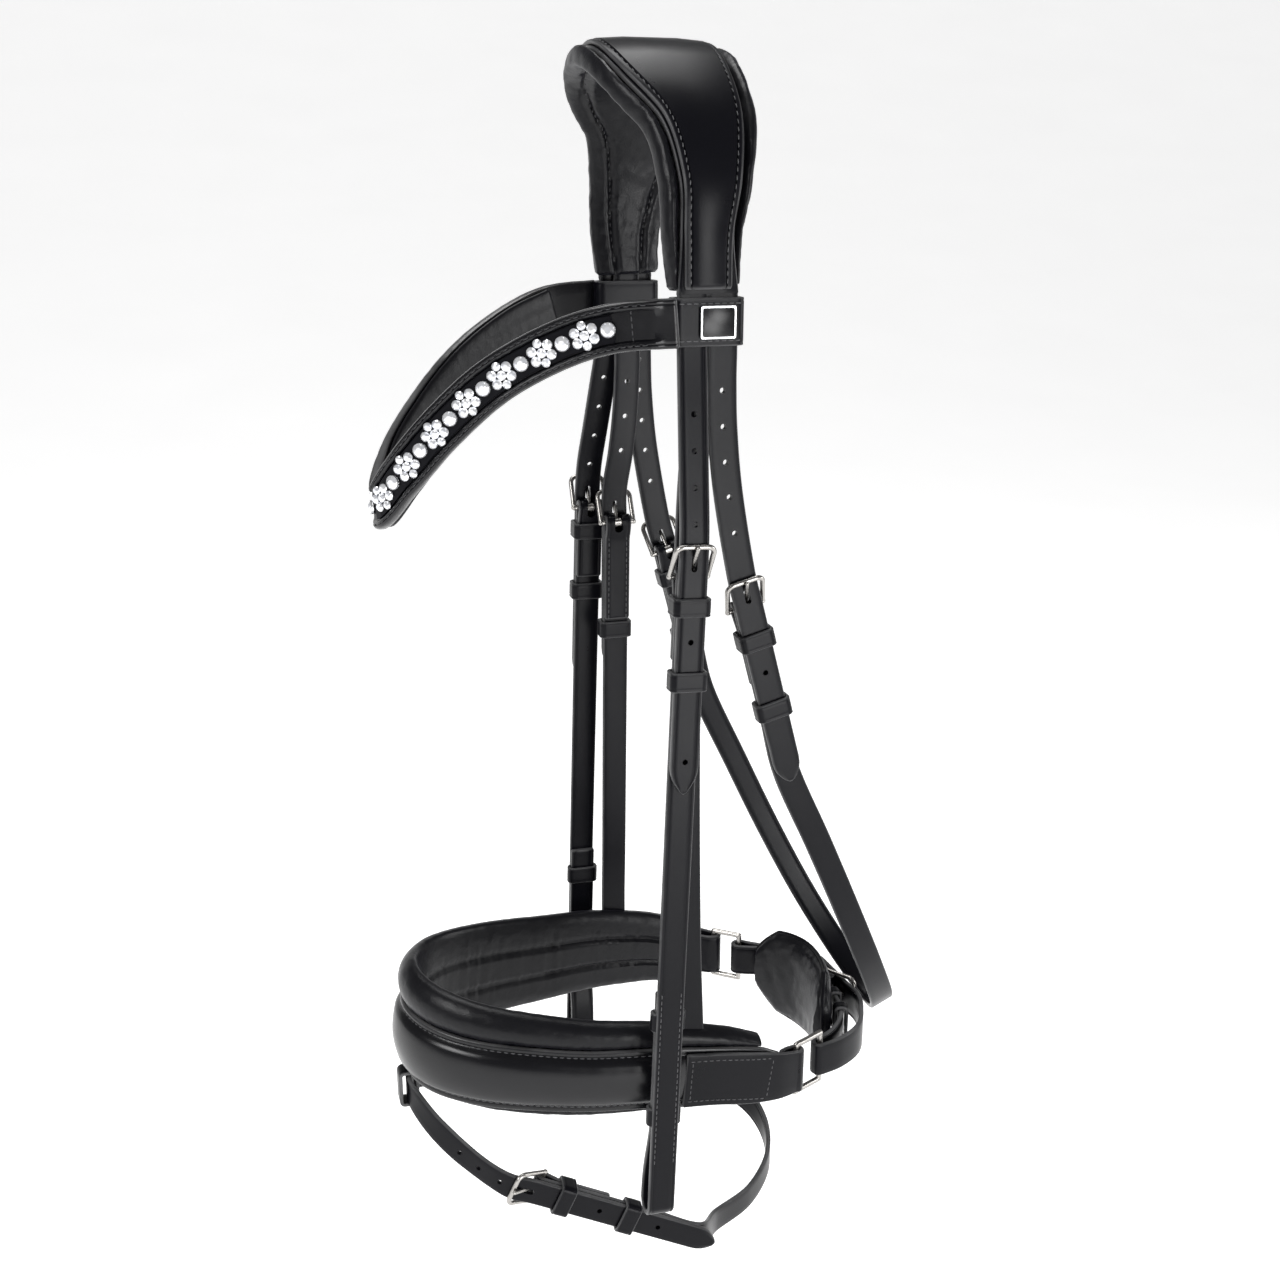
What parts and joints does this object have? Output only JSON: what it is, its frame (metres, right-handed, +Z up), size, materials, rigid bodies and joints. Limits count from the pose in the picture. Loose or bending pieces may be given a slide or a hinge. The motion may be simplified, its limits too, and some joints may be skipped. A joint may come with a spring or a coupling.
{
  "type": "snaffle bridle",
  "caption": "Snaffle bridle with a padded anatomical headpiece, jewelled V browband, buckled cheekpieces and throatlash, and a padded crank noseband with flash.",
  "frame": {"origin": "poll seat: underside of the headpiece on the centre line, where it rests behind the ears", "axes": "+Z up along the cheekpieces, -X towards the horse's nose, -Y to the near (left) side"},
  "size_m": [0.2615, 0.1678, 0.5864],
  "materials": {
    "bridle_leather": "satin black, dressed bridle leather",
    "soft_leather": "soft black lining leather over padding",
    "jewel_backing": "matt black leather",
    "steel": "polished stainless steel",
    "plate": "bright plated rim round a black field",
    "crystal": "clear faceted glass with a foiled back"
  },
  "bodies": {
    "root": {"headpiece_strap": "bridle_leather", "headpiece_lining": "soft_leather", "headpiece_cover": "bridle_leather", "browband": "bridle_leather", "browband_lining": "soft_leather", "jewel_strip": "jewel_backing", "jewels": "crystal", "jewel_cups": "steel", "near_plate": "plate"},
    "near_cheek": {"near_cheek_billet": "bridle_leather", "near_cheekpiece": "bridle_leather", "near_cheek_buckle": "steel", "near_cheek_keeper": "bridle_leather", "near_bit_keepers": "bridle_leather", "near_hook_stud": "steel"},
    "far_cheek": {"far_cheek_billet": "bridle_leather", "far_cheekpiece": "bridle_leather", "far_cheek_buckle": "steel", "far_cheek_keeper": "bridle_leather", "far_bit_keepers": "bridle_leather", "far_hook_stud": "steel"},
    "throatlash": {"near_throat_billet": "bridle_leather", "far_throat_billet": "bridle_leather", "throatlash": "bridle_leather", "near_throat_buckle": "steel", "far_throat_buckle": "steel", "near_throat_keeper": "bridle_leather", "far_throat_keeper": "bridle_leather"},
    "noseband": {"near_hanger": "bridle_leather", "far_hanger_billet": "bridle_leather", "far_hanger": "bridle_leather", "hanger_buckle": "steel", "noseband_leather": "bridle_leather", "noseband_panel": "bridle_leather", "noseband_lining": "soft_leather", "near_end_tab": "bridle_leather", "far_end_tab": "bridle_leather", "near_ring": "steel", "far_ring": "steel", "crank_strap": "bridle_leather", "crank_buckle": "steel", "chin_pad": "soft_leather", "chin_pad_loops": "bridle_leather", "flash_loop": "bridle_leather"},
    "flash": {"flash_strap": "bridle_leather", "flash_buckle": "steel", "flash_keeper": "bridle_leather"},
    "near_cheek_tongue": {"near_cheek_tongue": "steel"},
    "far_cheek_tongue": {"far_cheek_tongue": "steel"},
    "near_throat_tongue": {"near_throat_tongue": "steel"},
    "far_throat_tongue": {"far_throat_tongue": "steel"},
    "hanger_tongue": {"hanger_tongue": "steel"},
    "flash_tongue": {"flash_tongue": "steel"},
    "crank_tongue": {"crank_tongue": "steel"},
    "near_cheek_runner": {"near_cheek_runner": "bridle_leather"},
    "far_cheek_runner": {"far_cheek_runner": "bridle_leather"},
    "near_throat_runner": {"near_throat_runner": "bridle_leather"},
    "far_throat_runner": {"far_throat_runner": "bridle_leather"},
    "hanger_runner": {"hanger_runner": "bridle_leather"},
    "flash_runner": {"flash_runner": "bridle_leather"}
  },
  "joints": [
    {"name": "near_cheek_swing", "type": "hinge", "parent": "root", "child": "near_cheek", "pos_m": [0.004, -0.0605, -0.1072], "axis": [-1, 0, 0], "range_deg": [0, 25]},
    {"name": "far_cheek_swing", "type": "hinge", "parent": "root", "child": "far_cheek", "pos_m": [0.004, 0.0605, -0.1072], "axis": [1, 0, 0], "range_deg": [0, 25]},
    {"name": "throatlash_swing", "type": "hinge", "parent": "root", "child": "throatlash", "pos_m": [0.0171, 0, -0.107], "axis": [0, -1, 0], "range_deg": [0, 20]},
    {"name": "noseband_swing", "type": "hinge", "parent": "root", "child": "noseband", "pos_m": [0.01, 0, -0.107], "axis": [0, 1, 0], "range_deg": [0, 8]},
    {"name": "flash_swing", "type": "hinge", "parent": "noseband", "child": "flash", "pos_m": [-0.1193, 0, -0.4682], "axis": [0, -1, 0], "range_deg": [0, 8]},
    {"name": "near_cheek_tongue_pivot", "type": "hinge", "parent": "near_cheek", "child": "near_cheek_tongue", "pos_m": [0.0006, -0.0693, -0.201], "axis": [0.9987, 0, -0.0503], "range_deg": [0, 5]},
    {"name": "far_cheek_tongue_pivot", "type": "hinge", "parent": "far_cheek", "child": "far_cheek_tongue", "pos_m": [-0.0057, 0.0693, -0.199], "axis": [-0.9997, 0, 0.0227], "range_deg": [0, 5]},
    {"name": "near_throat_tongue_pivot", "type": "hinge", "parent": "throatlash", "child": "near_throat_tongue", "pos_m": [0.0314, -0.0558, -0.2203], "axis": [0.9672, 0, 0.2541], "range_deg": [0, 5]},
    {"name": "far_throat_tongue_pivot", "type": "hinge", "parent": "throatlash", "child": "far_throat_tongue", "pos_m": [0.0314, 0.0558, -0.2203], "axis": [-0.9672, 0, -0.2541], "range_deg": [0, 5]},
    {"name": "hanger_tongue_pivot", "type": "hinge", "parent": "noseband", "child": "hanger_tongue", "pos_m": [0.0042, 0.0537, -0.204], "axis": [-1, 0, 0.0045], "range_deg": [0, 5]},
    {"name": "flash_tongue_pivot", "type": "hinge", "parent": "flash", "child": "flash_tongue", "pos_m": [-0.063, -0.0375, -0.512], "axis": [0.4121, -0.0523, 0.9096], "range_deg": [0, 5]},
    {"name": "crank_tongue_pivot", "type": "hinge", "parent": "noseband", "child": "crank_tongue", "pos_m": [0.1062, 0.006, -0.455], "axis": [0, 0, 1], "range_deg": [0, 5]},
    {"name": "near_cheek_runner_slide", "type": "slide", "parent": "near_cheek", "child": "near_cheek_runner", "axis": [-0.0502, -0.0356, -0.9981], "range_m": [0, 0.007]},
    {"name": "far_cheek_runner_slide", "type": "slide", "parent": "far_cheek", "child": "far_cheek_runner", "axis": [-0.0226, 0.0356, -0.9991], "range_m": [0, 0.007]},
    {"name": "near_throat_runner_slide", "type": "slide", "parent": "throatlash", "child": "near_throat_runner", "axis": [-0.2541, 0.0027, 0.9672], "range_m": [0, 0.007]},
    {"name": "far_throat_runner_slide", "type": "slide", "parent": "throatlash", "child": "far_throat_runner", "axis": [-0.2541, -0.0027, 0.9672], "range_m": [0, 0.007]},
    {"name": "hanger_runner_slide", "type": "slide", "parent": "noseband", "child": "hanger_runner", "axis": [-0.0045, 0.0236, -0.9997], "range_m": [0, 0.007]},
    {"name": "flash_runner_slide", "type": "slide", "parent": "flash", "child": "flash_runner", "axis": [-0.9024, 0.1146, 0.4154], "range_m": [0, 0.007]}
  ]
}
